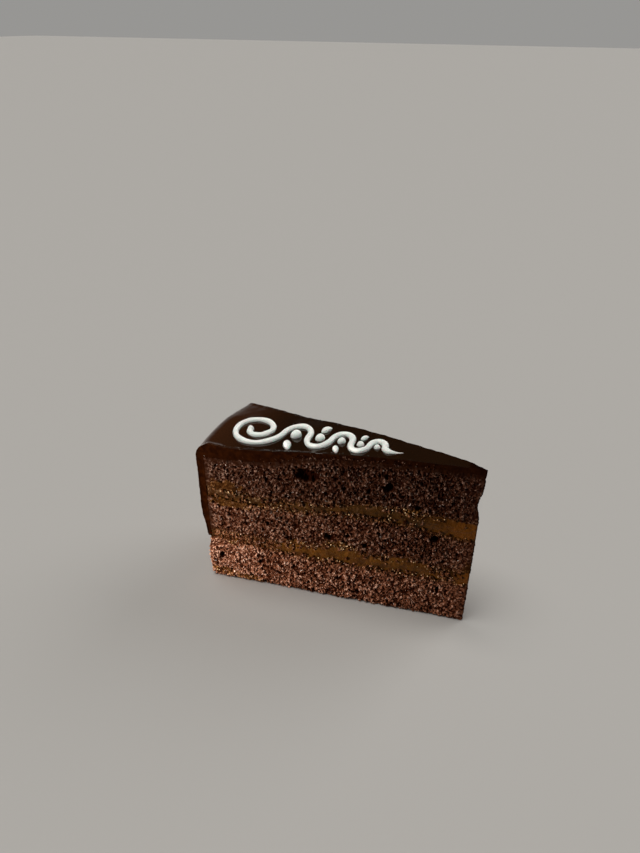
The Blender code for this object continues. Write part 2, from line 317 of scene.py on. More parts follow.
def slice_outline(radius, step):
    """Points round a layer's plan, counter-clockwise from the rim's front corner, the outward direction
    at each, and how many steps the front cut takes."""
    cut = round((radius - POINT_RADIUS) / step)
    rim = round(2 * HALF_ANGLE * radius / step)
    corners = [polar(radius + (POINT_RADIUS - radius) * i / cut, -HALF_ANGLE) for i in range(cut)]
    corners += [polar(POINT_RADIUS, HALF_ANGLE * (2 * i / BLUNT_STEPS - 1)) for i in range(BLUNT_STEPS)]
    corners += [polar(POINT_RADIUS + (radius - POINT_RADIUS) * i / cut, HALF_ANGLE) for i in range(cut)]
    corners += [polar(radius, HALF_ANGLE * (1 - 2 * i / rim)) for i in range(rim)]
    count = len(corners)
    places = []
    for i in range(count):
        near = [Vector(corners[(i + k) % count]) for k in (-2, -1, 0, 1, 2)]
        places.append(sum(near, Vector((0.0, 0.0))) / len(near))
    outward = []
    for i in range(count):
        along = (places[(i + 2) % count] - places[i - 2]).normalized()
        outward.append(Vector((along.y, -along.x, 0.0)))
    return places, outward, cut


def make_piece(name, points, faces, marks=None, sharp_angle=None):
    """A smooth-shaded piece. Marks hold a list of numbers by name, one for each point, and edges that turn
    more than the angle stay sharp."""
    mesh = bpy.data.meshes.new(name)
    mesh.from_pydata(points, [], faces)
    for key, values in (marks or {}).items():
        layer = mesh.attributes.new(key, "FLOAT", "POINT")
        layer.data.foreach_set("value", values)
    mesh.shade_smooth()
    if sharp_angle:
        mesh.set_sharp_from_angle(angle=math.radians(sharp_angle))
    return into_scene(bpy.data.objects.new(name, mesh))


def layer_mesh(name, node, radius, step, shape_point):
    """A closed mesh of one layer: a fine belt round its side, and plain faces above and below.
    shape_point(place, outward, low, high) gives a belt point's place and its marks."""
    places, outward, cut = slice_outline(radius, step)
    count = len(places)
    low = [layer_height(node, *place, upper=False) for place in places]
    high = [layer_height(node, *place, upper=True) for place in places]
    rows = round(sum(b - a for a, b in zip(low, high)) / count / step)
    points, marks = [], []
    for row in range(rows + 1):
        for i in range(count):
            z = low[i] + (high[i] - low[i]) * row / rows
            place, mark = shape_point(places[i].to_3d() + Vector((0, 0, z)), outward[i], low[i], high[i])
            points.append(place)
            marks.append(mark)
    faces = []
    for row in range(rows):
        for i in range(count):
            a, b = row * count + i, row * count + (i + 1) % count
            faces.append((a, b, b + count, a + count))
    far = 2 * cut + BLUNT_STEPS
    rings = [(i, i + 1, far - i - 1, far - i) for i in range(cut)]
    rings.append(tuple(range(cut, cut + BLUNT_STEPS + 1)))
    rings.append((*range(far, count), 0))
    faces += [tuple(reversed(ring)) for ring in rings]
    faces += [tuple(i + rows * count for i in ring) for ring in rings]
    marks = {key: [mark[key] for mark in marks] for key in marks[0]}
    return make_piece(name, points, faces, marks, sharp_angle=75)


def smooth_step(x):
    """0 below 0 and 1 above 1, with a smooth rise between them."""
    x = min(max(x, 0.0), 1.0)
    return x * x * (3.0 - 2.0 * x)


def hump(x, width):
    """1 at 0, and next to nothing twice the width away from it."""
    return math.exp(-((x / width) ** 2))


def pore(at, spacing, size, spread, fullness, salt):
    """How far a point lies inside a round pore, 0 to 1. Each cell of the spacing has one, and their radii
    differ by up to the spread."""
    distances, centres = noise.voronoi(at / spacing)[:2]
    size += spread * noise.cell(centres[0] * salt)
    return smooth_step(fullness - distances[0] / max(size, 0.02))


def crumb_relief(place):
    """How far the torn crumb stands proud of a smooth cut at place, in millimetres."""
    at = place / MM
    at += noise.noise_vector(at / 1.2) * 0.5
    distances, centres = noise.voronoi(at / CRUMB_SPACING)[:2]
    crumb = min(distances[1] - distances[0], 0.4) / 0.4
    relief = 0.6 * (crumb - 0.62) + 0.34 * noise.cell(centres[0] * 29.7)
    relief += 0.22 * noise.noise(at / 1.7) + 0.14 * noise.noise(at / 6.5)
    relief -= 1.1 * pore(at, PORE_SPACING, 0.19, 0.17, 1.35, 37.1)
    relief -= 1.6 * pore(at, DEEP_PORE_SPACING, 0.11, 0.13, 1.3, 17.3)
    return relief


def hole_relief(place, holes):
    """Depth of the named holes at place, in millimetres. Their walls are ragged."""
    r, z = from_axis(place) / MM, place.z / MM
    ragged = 0.35 * noise.noise(place / MM / 1.3)
    depth_and_painted_shade = 0.0
    for hole_r, hole_z, half_width, half_height, deepest in holes:
        away = math.hypot((r - hole_r) / half_width, (z - hole_z) / half_height) + ragged
        depth_and_painted_shade = max(depth_and_painted_shade, deepest * smooth_step(1.6 * (1.15 - away)))
    return depth_and_painted_shade


def jam_stain(place):
    """How far jam covers the crumb at place, and how smoothly."""
    r, z = from_axis(place) / MM, place.z / MM
    ragged = 0.7 * noise.noise(place / MM / 1.9) + 0.4 * noise.noise(place / MM / 0.8)
    cover, evenness = 0.0, 0.0
    for stain_r, stain_z, half_width, half_height, smooth, _ in JAM_STAINS:
        away = math.hypot((r - stain_r) / half_width, (z - stain_z) / half_height) + ragged
        here = smooth_step(1.8 * (1.2 - away))
        cover, evenness = max(cover, here), max(evenness, here * smooth)
    return cover, evenness


def glaze_smear(place, side, r, below, under_glaze):
    """How far glaze that the knife dragged covers the crumb: more in some places than in others."""
    wander = noise.noise(Vector((r / MM / 8.0, place.z / MM / 8.0, side)))
    patchy = 0.5 * noise.noise(place / MM / 1.1)
    smear = 0.6 * smooth_step(1.3 + patchy - r / ((3.5 + 2.0 * wander) * MM))
    if under_glaze:
        smear = max(smear, smooth_step(1.25 + patchy - below / ((1.9 + 1.6 * wander) * MM)))
    if place.z > GLAZE_EDGE_HEIGHT:
        from_rim = SPONGE_RADIUS - r
        smear = max(smear, smooth_step(1.35 + patchy - from_rim / ((1.5 + 1.2 * wander) * MM)))
    return smear


def pushed_out(place, amount):
    """A point moved away from the round's axis, by the amount at the rim and by less further in."""
    grown = 1.0 + amount / SPONGE_RADIUS
    return Vector((AXIS_X + (place.x - AXIS_X) * grown, place.y * grown, place.z))


def sponge_shaper(under_glaze, on_table):
    """A shape_point for one sponge layer. An edge that meets jam is ragged, the crumb under the glaze is
    smeared with chocolate, and the edge on the table is tucked in."""

    def shape_point(place, outward, low, high):
        r = from_axis(place)
        above, below = place.z - low, high - place.z
        at_rim = outward.x < -0.8
        relief = crumb_relief(place) - hole_relief(place, FRONT_HOLES if outward.y < 0 else BACK_HOLES)
        if under_glaze:
            chip = POINT_CHIP * smooth_step((8.0 * MM - r) / (6.0 * MM))
            place = place - Vector((chip * hump(place.z - POINT_CHIP_HEIGHT, 4.0 * MM), 0, 0))
        smear = glaze_smear(place, outward.y, r, below, under_glaze)
        relief = relief * (1.0 - 0.75 * smear) + 0.2 * smear
        stain, evenness = jam_stain(place) if outward.y < 0 else (0.0, 0.0)
        relief = relief * (1.0 - 0.8 * evenness) + 0.3 * evenness
        relief = max(relief * (0.3 + 0.7 * min(1.0, r / THIN_POINT)), -3.2)
        # Painted shade: the deeper the crumb lies, in pores and holes, the darker its finish paints it.
        depth_and_painted_shade = min(max(0.45 - 0.8 * relief, 0.0), 1.0)
        if at_rim:
            relief *= 0.5
        push = relief * MM
        if on_table and place.z < TUCK:
            share = min(1.0 - place.z / TUCK, 1.0)
            push -= 0.8 * TUCK * (1.0 - math.sqrt(1.0 - share * share))
        if on_table:
            swell = FOOT_BULGE * math.sqrt(max(0.0, math.sin(math.pi * min(place.z / FOOT_HEIGHT, 1.0))))
            place = pushed_out(place, swell)
        if place.z > GLAZE_EDGE_HEIGHT - 2.0 * MM:
            # Under the glaze the rim is pressed flat against it.
            at_glaze = smooth_step((r - SPONGE_RADIUS) / GLAZE_PRESS + 1.4)
            push += (0.1 * MM - push) * at_glaze
            place = pushed_out(place, 0.6 * MM * at_glaze)
        ragged = 0.75 * noise.noise(place / MM / 1.2 + Vector((7.0, 0.0, 0.0)))
        if under_glaze:
            place = place + Vector((0, 0, 0.5 * MM * smooth_step(1.0 - below / (0.8 * MM))))
        else:
            place = place + Vector((0, 0, (ragged - 0.3) * MM * smooth_step(1.0 - below / RAGGED_EDGE)))
        if not on_table:
            place = place + Vector((0, 0, (ragged + 0.3) * MM * smooth_step(1.0 - above / RAGGED_EDGE)))
        jam_edge = min(math.inf if on_table else above, math.inf if under_glaze else below)
        push -= 0.2 * MM * smooth_step(1.0 - jam_edge / (0.4 * MM))
        wet = max(math.exp(-jam_edge / (1.1 * MM)), 1.25 * stain)
        crust = float(at_rim and place.z < GLAZE_EDGE_HEIGHT)
        # Lighter towards the rim: partly drier crumb, partly painted light.
        dry_and_painted_light = smooth_step((r - 40.0 * MM) / (62.0 * MM))
        return place + outward * push, {
            "depth_and_painted_shade": depth_and_painted_shade, "wet": wet, "smear": smear, "crust": crust, "dry_and_painted_light": dry_and_painted_light, "even": evenness,
        }

    return shape_point


def new_finish(name, **constants):
    """A Principled material, its tree, and the place on the piece that its patterns follow."""
    finish = bpy.data.materials.new(name)
    finish.use_nodes = True
    tree = finish.node_tree
    shader = tree.nodes["Principled BSDF"]
    for key, value in constants.items():
        shader.inputs[key.replace("_", " ")].default_value = value
    return finish, tree, Shade.node(tree, "TexCoord", output=3)


def feed(tree, **links):
    """Links shades to the sockets of a finish's shader."""
    shader = tree.nodes["Principled BSDF"]
    for key, shade in links.items():
        tree.links.new(shade.socket, shader.inputs[key.replace("_", " ")])


def mark(tree, name):
    """A mark that the mesh carries at each point."""
    return Shade.node(tree, "Attribute", {"attribute_name": name}, output=2)


def speckle(tree, place, size, detail=2.0, roughness=0.5):
    """Cloudy noise, about 0 to 1, with blots of a size in millimetres."""
    sockets = {"Vector": place, "Scale": 1000.0 / size, "Detail": detail, "Roughness": roughness}
    return Shade.node(tree, "TexNoise", (), sockets)


def raised(tree, height, distance):
    """A normal from a height."""
    return Shade.node(tree, "Bump", (), {"Height": height, "Distance": distance})


def toned(colour, tone):
    """A colour made lighter or darker."""
    return tuple(tone * part for part in colour)


# The darkest crumb colour: painted shade deep in the pores, and crumb that is dark by chance.
DARK_CRUMB_AND_PORE_SHADE_COLOUR = (0.014, 0.0024, 0.0004)
CRUMB_COLOUR = (0.118, 0.0445, 0.0235)
# Pale crumb at the tips and ridges, partly painted highlight.
FLECK_AND_HIGHLIGHT_COLOUR = (0.55, 0.335, 0.255)
BAKED_COLOUR = (0.075, 0.03, 0.015)
# Golden crumb next to the jam: partly jam taken up by the crumb, partly painted glints.
SOAKED_AND_GLINT_COLOURS = (0.035, 0.012, 0.0016), (0.21, 0.095, 0.027)  # crumb with jam in it
PASTE_COLOURS = (0.007, 0.002, 0.0002), (0.021, 0.006, 0.0008)  # jam rubbed smooth over the crumb
SMEAR_COLOURS = (0.0055, 0.0013, 0.0003), (0.0105, 0.0026, 0.0005)


def smeared_chocolate(tree, place):
    """The colour of glaze that the knife smeared."""
    return blend(tree, speckle(tree, place, 2.2, 3.0).between(0.35, 0.7), *SMEAR_COLOURS)


def crumb_finish(name, tone, fleck_and_highlight):
    """Moist chocolate crumb. Painted shade darkens it deep in its pores, and its pale tips are partly
    painted highlight. It is golden in spots next to the jam, partly from jam the crumb took up and partly as
    painted glints, smooth and dark under smears of glaze, and drier on the baked rim. It is lighter towards
    the rim, partly as drier crumb and partly as painted light. Tone says how light its body is and the
    flecking how light its tips are; from layer to layer they paint light and shade."""
    finish, tree, place = new_finish(name, Specular_IOR_Level=0.008, Coat_Roughness=0.15)
    depth_and_painted_shade, wet, smear, crust, dry_and_painted_light, even = (
        mark(tree, key) for key in ("depth_and_painted_shade", "wet", "smear", "crust", "dry_and_painted_light", "even")
    )
    sockets = {"Vector": place, "Scale": 1000.0 / CRUMB_SPACING}
    cells = Shade.node(tree, "TexVoronoi", (), sockets, output=1)
    crumb_tone = Shade.node(tree, "SeparateColor", (), {0: cells})
    grain = speckle(tree, place, 0.45, 3.0, 0.7)
    # Thin pale ridges in the crumb, partly painted highlight.
    strings = (1.0 - 9.0 * abs(speckle(tree, place, 1.3, 2.0, 0.6) - 0.5)).clamped()
    # Painted shade darkens the crumb where it lies deep in its pores.
    light = (1.0 - depth_and_painted_shade) * (0.1 + 1.3 * crumb_tone)
    light = light * (0.2 + 0.75 * grain.between(0.35, 0.65) + 0.8 * strings)
    # Lighter towards the rim: partly drier crumb, partly painted light.
    light = light * (0.9 + 0.22 * dry_and_painted_light)
    dark, body = toned(DARK_CRUMB_AND_PORE_SHADE_COLOUR, math.sqrt(tone)), toned(CRUMB_COLOUR, tone)
    brown = blend(tree, light.between(0.05, 0.5), dark, body)
    # The lightest crumb turns pale: partly paler crumb, partly painted highlight.
    brown = blend(tree, light.between(0.5, 1.05), brown, toned(FLECK_AND_HIGHLIGHT_COLOUR, fleck_and_highlight))
    brown = blend(tree, crust * 0.6, brown, BAKED_COLOUR)
    # Golden spots next to the jam: partly jam taken up by the crumb, partly painted glints.
    soaked_and_glint = (wet * speckle(tree, place, 1.7).between(0.3, 0.62)).clamped()
    paste = blend(tree, speckle(tree, place, 2.6, 3.0), *PASTE_COLOURS)
    golden = blend(tree, even, blend(tree, light.between(0.2, 1.0), *SOAKED_AND_GLINT_COLOURS), paste)
    brown = blend(tree, (soaked_and_glint * 0.85 + even).clamped(), brown, golden)
    colour = blend(tree, smear * 0.95, brown, smeared_chocolate(tree, place))
    gleam = speckle(tree, place, 0.8, 1.0).between(0.6, 0.64) * (1.0 - depth_and_painted_shade) * (1.0 - even)
    roughness = 0.85 - 0.25 * soaked_and_glint - 0.1 * smear
    feed(
        tree, Base_Color=colour, Roughness=roughness.clamped(), Coat_Weight=0.5 * gleam * (1.0 - smear),
        Normal=raised(tree, grain * (1.0 - 0.7 * smear), 0.0004),
    )
    return finish


# The three layers are one sponge: their tones and flecking are painted light and shade, the bottom layer
# lighter and the top darker.
for layer_name, solid, under_glaze, on_table, tone, fleck_and_highlight in (
    ("crumb_bottom", "sponge_bottom", False, True, 1.12, 0.61),
    ("crumb_middle", "sponge_middle", False, False, 0.62, 0.37),
    ("crumb_top", "sponge_top", True, False, 0.35, 0.225),
):
    shaper = sponge_shaper(under_glaze, on_table)
    sponge = layer_mesh(layer_name, solid, SPONGE_RADIUS, CRUMB_STEP, shaper)
    sponge.data.materials.append(crumb_finish("chocolate_" + layer_name, tone, fleck_and_highlight))
    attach(sponge, "root")
    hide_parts(solid)


# ---- Two jam layers ----------------------------------------------------------------------------------
# Sieved apricot jam, brushed on the sawn sponge and soaked a little into it. The knife drew it back, so it
# lies behind the crumb with a wet, swollen skin. It is clear amber at the point, where it lies thick.

JAM_STEP = 0.4 * MM
JAM_RECESS = 0.6  # in mm
JAM_SWELL = 0.45  # in mm
JAM_SOAK = 1.6  # how much thicker the layer is with what the sponge took up, in mm
CLEAR_REACH = 24.0 * MM  # how far from the axis the clear jam goes
COVER_START = 95.0 * MM  # where the glaze that the knife dragged in from the rim starts to cover the jam
COVER_REACH = 5.0 * MM
CLEAR_JAM_COLOUR = (0.062, 0.019, 0.0012)
CLOUDY_JAM_COLOURS = (0.017, 0.0058, 0.0009), (0.04, 0.0145, 0.0016)
COVERED_JAM_COLOUR = (0.015, 0.0045, 0.0006)


def jam_point(place, outward, low, high):
    """The shape_point of a jam layer."""
    share = (place.z - low) / (high - low)
    swell = math.sin(math.pi * share)
    sag = noise.noise(place / MM / 3.5) * 0.35 + noise.noise(place / MM / 1.2) * 0.18
    r = from_axis(place)
    push = (-JAM_RECESS + JAM_SWELL * swell + sag) * MM * min(1.0, r / (10.0 * MM))
    at_glaze = smooth_step((r - SPONGE_RADIUS) / GLAZE_PRESS + 1.8)
    push *= 1.0 - at_glaze
    place = pushed_out(place, 0.8 * MM * at_glaze)
    stretch = (share - 0.5) * JAM_SOAK * MM
    clear = smooth_step((CLEAR_REACH - r) / CLEAR_REACH)
    covered = smooth_step((r - COVER_START) / COVER_REACH)
    return place + outward * push + Vector((0, 0, stretch)), {"clear": clear, "covered": covered}


def jam_finish(name, tone):
    """Amber jam: clear and bright at the point, brown and cloudy with crumb further in."""
    finish, tree, place = new_finish(
        name, Specular_IOR_Level=0.16, Specular_Tint=(1.0, 0.55, 0.22, 1.0), Subsurface_Weight=0.1,
        Subsurface_Scale=0.0015, Subsurface_Radius=(1.0, 0.4, 0.1),
    )
    cloud = speckle(tree, place, 4.5, 4.0, 0.6)
    # Tone paints each layer lighter or darker: painted light and shade.
    colour = blend(tree, cloud.between(0.35, 0.68), *(toned(end, tone) for end in CLOUDY_JAM_COLOURS))
    colour = blend(tree, mark(tree, "clear"), colour, CLEAR_JAM_COLOUR)
    colour = blend(tree, mark(tree, "covered"), colour, COVERED_JAM_COLOUR)
    roughness = 0.25 + 0.3 * speckle(tree, place, 1.5).between(0.4, 0.65)
    feed(
        tree, Base_Color=colour, Roughness=roughness,
        Normal=raised(tree, speckle(tree, place, 1.3, 2.0), 0.0005),
    )
    return finish


# The two layers are one jam: the lower is painted lighter and the upper darker, as painted light and shade.
for layer_name, solid, tone in (
    ("jam_spread_lower", "jam_lower", 1.5),
    ("jam_spread_upper", "jam_upper", 0.66),
):
    jam = layer_mesh(layer_name, solid, SPONGE_RADIUS - 0.3 * MM, JAM_STEP, jam_point)
    jam.data.materials.append(jam_finish("apricot_" + layer_name, tone))
    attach(jam, "root")
    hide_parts(solid)


# ---- Poured glaze ------------------------------------------------------------------------------------
# Cooked chocolate glaze, poured over the whole round and left to run down its side. It is glossy on top,
# and where the hot knife went through it has a thin drawn-up edge and a duller, smeared cut.

GLAZE_STEP = 0.45 * MM
GLAZE_TURN = 1.2 * MM  # how far inside the sponge's edges the shoulder's middle lies
GLAZE_SPINE = SPONGE_RADIUS - GLAZE_TURN  # a line inside the shoulder, from which the glaze is measured
PROBE_START = 30.0 * MM  # how far from the spine the glaze's outside is looked for, from outside
TURN_STEPS = 14  # mesh steps round the shoulder
GLAZE_ACROSS = 26  # mesh steps from cut to cut
GLAZE_LAYERS = 10  # mesh steps through the glaze
LIP_RISE, LIP_END, LIP_FADE = 4.0 * MM, 11.0 * MM, 6.0 * MM  # the drawn lip, measured from the rim
POINT_DRAG, POINT_DRAG_FADE = 8.0 * MM, 2.5 * MM  # where the knife roughened the glaze at the point
POINT_DULL, POINT_DULL_FADE = 8.5 * MM, 1.5 * MM  # and where it left it dull
TOP_COLOURS = (0.0085, 0.0031, 0.0006), (0.018, 0.0063, 0.0014)
# The glaze's colour towards the rim: painted light.
PAINTED_RIM_LIGHT_COLOUR = (0.036, 0.012, 0.004)


def glaze_profile(angle):
    """Inner and outer (distance from the axis, height) and outward angle along the glaze, from its lower
    edge on the rim over the shoulder to the point."""
    seen = 0.97 * angle
    middle = Vector((*polar(0.0, 0.0), 0.0))
    radial = Vector((-math.cos(seen), math.sin(seen), 0.0))
    foot = middle + radial * (SPONGE_RADIUS + 0.75 * MM)
    edge_z = first_hit("chocolate_glaze", foot, (0, 0, 1)).z
    roof = first_hit("chocolate_glaze", middle + radial * GLAZE_SPINE, (0, 0, 1)).z
    turn_z = roof - GLAZE_TURN
    length = GLAZE_SPINE - POINT_RADIUS
    side_steps, top_steps = round((turn_z - edge_z) / GLAZE_STEP), round(length / GLAZE_STEP)
    rays = [(GLAZE_SPINE, edge_z + (turn_z - edge_z) * i / side_steps, 0.0) for i in range(side_steps)]
    rays += [(GLAZE_SPINE, turn_z, math.pi / 2 * i / TURN_STEPS) for i in range(TURN_STEPS)]
    rays += [(GLAZE_SPINE - length * i / top_steps, turn_z, math.pi / 2) for i in range(top_steps + 1)]
    profile = []
    for r, z, lean in rays:
        r_seen = max(r, POINT_RADIUS + 0.4 * MM)
        z_seen = max(z, edge_z + 0.05 * MM)
        start = middle + radial * r_seen + Vector((0, 0, z_seen))
        way = radial * math.cos(lean) + Vector((0, 0, math.sin(lean)))
        inner = first_hit("chocolate_glaze", start, way)
        outer = first_hit("chocolate_glaze", start + way * PROBE_START, -way)
        ends = []
        for end in (inner, outer):
            grown = end - start
            ends.append((r + grown.dot(radial), z + grown.z))
        profile.append((*ends, lean))
    return profile


def box_shell(counts):
    """Grid points (i, j, k) on the outside of a box of cells, and its faces, which look outwards."""
    points, index, faces = [], {}, []

    def corner(cell):
        if cell not in index:
            index[cell] = len(points)
            points.append(cell)
        return index[cell]

    for axis in range(3):
        one, two = [(1, 2), (2, 0), (0, 1)][axis]
        for end in (0, counts[axis]):
            for a in range(counts[one]):
                for b in range(counts[two]):
                    face = []
                    for da, db in ((0, 0), (1, 0), (1, 1), (0, 1)):
                        cell = [end, end, end]
                        cell[one], cell[two] = a + da, b + db
                        face.append(corner(tuple(cell)))
                    faces.append(face if end else face[::-1])
    return points, faces


def glaze_detail(r, z, angle, lean, below_top, above_crumb, away_from_cut):
    """How far a point of the glaze moves: out of its cut, and out of its poured face, in millimetres."""
    at = Vector((r / MM, z / MM, angle * 100.0))
    from_rim = SPONGE_RADIUS + 2.0 * MM - r
    lip = smooth_step(from_rim / LIP_RISE) * smooth_step((LIP_END - from_rim) / LIP_FADE)
    lip *= (angle < 0) * smooth_step(lean / math.radians(60))
    along, upward = 0.8 + 6.0 * math.sin(lean), 0.8 + 6.0 * math.cos(lean)
    streak = noise.noise(Vector((at.x / along, at.y / upward, angle)))
    cut = 0.22 * streak + 0.14 * noise.noise(at / 1.7)
    cut += 0.3 * hump(below_top, 0.45)
    cut += lip * (0.8 * hump(below_top, 0.7) - 0.4 * hump(below_top - 1.8, 0.8))
    # Where it meets the sponge, the cut glaze is level with the crumb.
    cut = 0.15 + (cut - 0.15) * smooth_step(above_crumb / 0.9)
    ruffle = noise.noise(Vector((at.x / 2.2, 5.0, angle * 9)))
    out = 0.05 * noise.noise(at / 9.0)
    # Towards the point, the knife drew the front edge up less.
    drawn_up = 1.0 if angle > 0 else 0.35 + 0.65 * smooth_step((r / MM - 40.0) / 35.0)
    out += hump(away_from_cut, 0.6) * (0.12 + 0.22 * ruffle) * drawn_up
    out += hump(away_from_cut, 1.1) * 1.1 * lip * (1.0 + 0.4 * ruffle)
    dragged = smooth_step((POINT_DRAG - r) / POINT_DRAG_FADE) * math.sin(lean)
    out += dragged * (0.35 * noise.noise(at / 1.1) - 0.25)
    return cut, out


def glaze_mesh(name):
    """The glaze's shell: its poured face, its underside on the sponge, its lower edge and its two cuts."""
    sides = [-math.cos(math.pi * j / GLAZE_ACROSS) for j in range(GLAZE_ACROSS + 1)]
    profiles = [glaze_profile(side * HALF_ANGLE) for side in sides]
    # The lower edge's height differs a little from line to line, so that all lines take equal steps.
    steps = max(len(profile) for profile in profiles) - 1

    def on_profile(profile, i):
        return profile[round(i * (len(profile) - 1) / steps)]

    cells, faces = box_shell((steps, GLAZE_ACROSS, GLAZE_LAYERS))
    points, cut_marks = [], []
    for i, j, k in cells:
        (inner_r, inner_z), (outer_r, outer_z), lean = on_profile(profiles[j], i)
        share = (1.0 - math.cos(math.pi * k / GLAZE_LAYERS)) / 2
        r, z = inner_r + (outer_r - inner_r) * share, inner_z + (outer_z - inner_z) * share
        angle = sides[j] * HALF_ANGLE
        thickness = math.hypot(outer_r - inner_r, outer_z - inner_z)
        below_top, above_crumb = (1.0 - share) * thickness / MM, share * thickness / MM
        away = (HALF_ANGLE - abs(angle)) * r / MM
        cut, out = glaze_detail(r, z, angle, lean, below_top, above_crumb, away)
        thin = min(1.0, r / (8.0 * MM))
        out *= share * thin * MM
        r += out * math.cos(lean)
        z += out * math.sin(lean)
        x, y = polar(r, angle)
        on_cut = j in (0, GLAZE_ACROSS)
        if on_cut:
            x += cut * MM * thin * math.sin(angle)
            y += (1 if j else -1) * cut * MM * thin * math.cos(angle)
        points.append((x, y, z))
        dulled = smooth_step((POINT_DULL - r) / POINT_DULL_FADE) * (z > GLAZE_EDGE_HEIGHT)
        cut_marks.append(max(dulled, float(on_cut and k < GLAZE_LAYERS)))
    return make_piece(name, points, faces, {"cut": cut_marks}, sharp_angle=80)


def glaze_finish():
    """Dark glossy chocolate, less glossy down the rim and dull where it was cut. It is painted browner
    towards the rim: painted light.
    """
    finish, tree, place = new_finish(
        "poured_chocolate", Specular_IOR_Level=0.0, Coat_Roughness=0.06, Coat_IOR=1.45
    )
    cut = mark(tree, "cut")
    to_rim = 0.0 - Shade.node(tree, "SeparateXYZ", (), {0: place})
    height = Shade.node(tree, "SeparateXYZ", (), {0: place}, output=2)
    poured = blend(tree, speckle(tree, place, 14.0, 3.0), *TOP_COLOURS)
    # Painted light: the glaze turns browner towards the rim.
    poured = blend(tree, to_rim.between(0.02, 0.055), poured, PAINTED_RIM_LIGHT_COLOUR)
    colour = blend(tree, cut, poured, smeared_chocolate(tree, place))
    gloss = 0.45 + 0.55 * height.between(0.05, 0.062)
    roughness = 0.3 + 0.2 * speckle(tree, place, 3.0) + 0.35 * cut
    feed(
        tree, Base_Color=colour, Roughness=roughness, Coat_Weight=gloss * (1.0 - 0.98 * cut),
        Normal=raised(tree, speckle(tree, place, 1.8, 3.0) * cut, 0.0004),
    )
    return finish


glaze = glaze_mesh("glaze_coat")
glaze.data.materials.append(glaze_finish())
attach(glaze, "root")
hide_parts("chocolate_glaze")


# ---- Piped icing scroll ------------------------------------------------------------------------------
# Stiff white sugar icing, piped by hand through a plain round nozzle: one long stroke, which starts as a
# spiral and runs out in a wave, with a pearl in each bend and small leaves beside it.

BEAD_RADIUS = 1.15 * MM
BEAD_FLATNESS = 0.6
BEAD_STEP = 0.45 * MM
BEAD_SIDES = 18
BEAD_SINK = 0.12 * MM  # how deep a bead's foot lies in the glaze
SCROLL_SHIFT = -1.2 * MM  # from the slice's middle line towards the front
SPIRAL_CENTRE = 87.0 * MM  # from the round's axis
SPIRAL_OUTER = 10.6 * MM
SPIRAL_INNER = 2.6 * MM
SPIRAL_TURNS = 1.5
FIRST_ARC = 5.2 * MM  # half the length of the wave's first bend, and each is ARC_RATIO of the one before
ARC_RATIO = 0.86
ARC_SWING = 1.3
ARC_COUNT = 5
TAIL_LENGTH = 7.0 * MM
TAIL_SWEEP = 0.2
PEARL_SIZE = 0.8  # a part of its bend's half length, as LEAF_LENGTH is
LEAF_LENGTH = 1.1
LEAF_WIDTH = 0.58  # a part of the leaf's length
LEAF_HEADING = math.radians(118)
DROP_STEPS = 16

arcs = []
arc_edge, arc_half, arc_side = SPIRAL_CENTRE - SPIRAL_OUTER, FIRST_ARC, 1
for _ in range(ARC_COUNT):
    arcs.append((arc_edge - arc_half, arc_half, arc_side))
    arc_edge -= 2 * arc_half
    arc_half *= ARC_RATIO
    arc_side = -arc_side


def turn_points(centre, start, end, first_angle, last_angle, swing=1.0):
    """Points that turn about (centre, 0), from radius start to radius end."""
    count = round(abs(last_angle - first_angle) * (start + end) / 2 / BEAD_STEP)
    points = []
    for step in range(count + 1):
        angle = first_angle + (last_angle - first_angle) * step / count
        radius = start + (end - start) * step / count
        points.append((centre + radius * math.cos(angle), swing * radius * math.sin(angle)))
    return points


def stem_points():
    """The long stroke's path: the spiral from its middle outwards, the wave and the tail."""
    wound = 2 * math.pi * SPIRAL_TURNS
    points = turn_points(SPIRAL_CENTRE, SPIRAL_INNER, SPIRAL_OUTER, math.pi + wound, math.pi)
    for centre, half, side in arcs:
        points += turn_points(centre, half, half, 0.0, side * math.pi, ARC_SWING)[1:]
    centre, half, side = arcs[-1]
    steps = round(TAIL_LENGTH / BEAD_STEP)
    for step in range(1, steps + 1):
        share = step / steps
        sweep = -side * TAIL_SWEEP * TAIL_LENGTH * math.sin(math.pi * share)
        points.append((centre - half - TAIL_LENGTH * share**1.4, sweep))
    return points


def glaze_top(x, y):
    """The point on top of the glaze at (x, y)."""
    return first_hit("chocolate_glaze", (x, y, ABOVE_ALL), (0.0, 0.0, -1.0))


def piped_mesh(name, path, widths):
    """A bead of icing along a flat path of (distance from the axis, across), with its half width at each
    point. Its foot spreads on the glaze and its back is round."""
    points, faces = [], []
    last = len(path) - 1
    for i, ((along, across), half) in enumerate(zip(path, widths)):
        before, after = path[max(i - 1, 0)], path[min(i + 1, last)]
        way = Vector((after[0] - before[0], after[1] - before[1])).normalized()
        under = glaze_top(AXIS_X - along, across + SCROLL_SHIFT).z
        for k in range(BEAD_SIDES):
            angle = 2 * math.pi * k / BEAD_SIDES
            out, up = math.cos(angle), math.sin(angle)
            # The foot is flat: what would be the lower half of a round bead is pressed out sideways.
            rise = 2 * half * BEAD_FLATNESS * (up**0.85 if up > 0 else 0.12 * up)
            spread = half * out * (1.0 + 0.06 * (up < 0))
            r, y = along + way.y * spread, across - way.x * spread + SCROLL_SHIFT
            points.append((AXIS_X - r, y, under + rise - BEAD_SINK))
    for i in range(last):
        for k in range(BEAD_SIDES):
            a, b = i * BEAD_SIDES + k, i * BEAD_SIDES + (k + 1) % BEAD_SIDES
            faces.append((a, a + BEAD_SIDES, b + BEAD_SIDES, b))
    faces.append(tuple(range(BEAD_SIDES)))
    faces.append(tuple(reversed(range(last * BEAD_SIDES, (last + 1) * BEAD_SIDES))))
    return make_piece(name, points, faces)


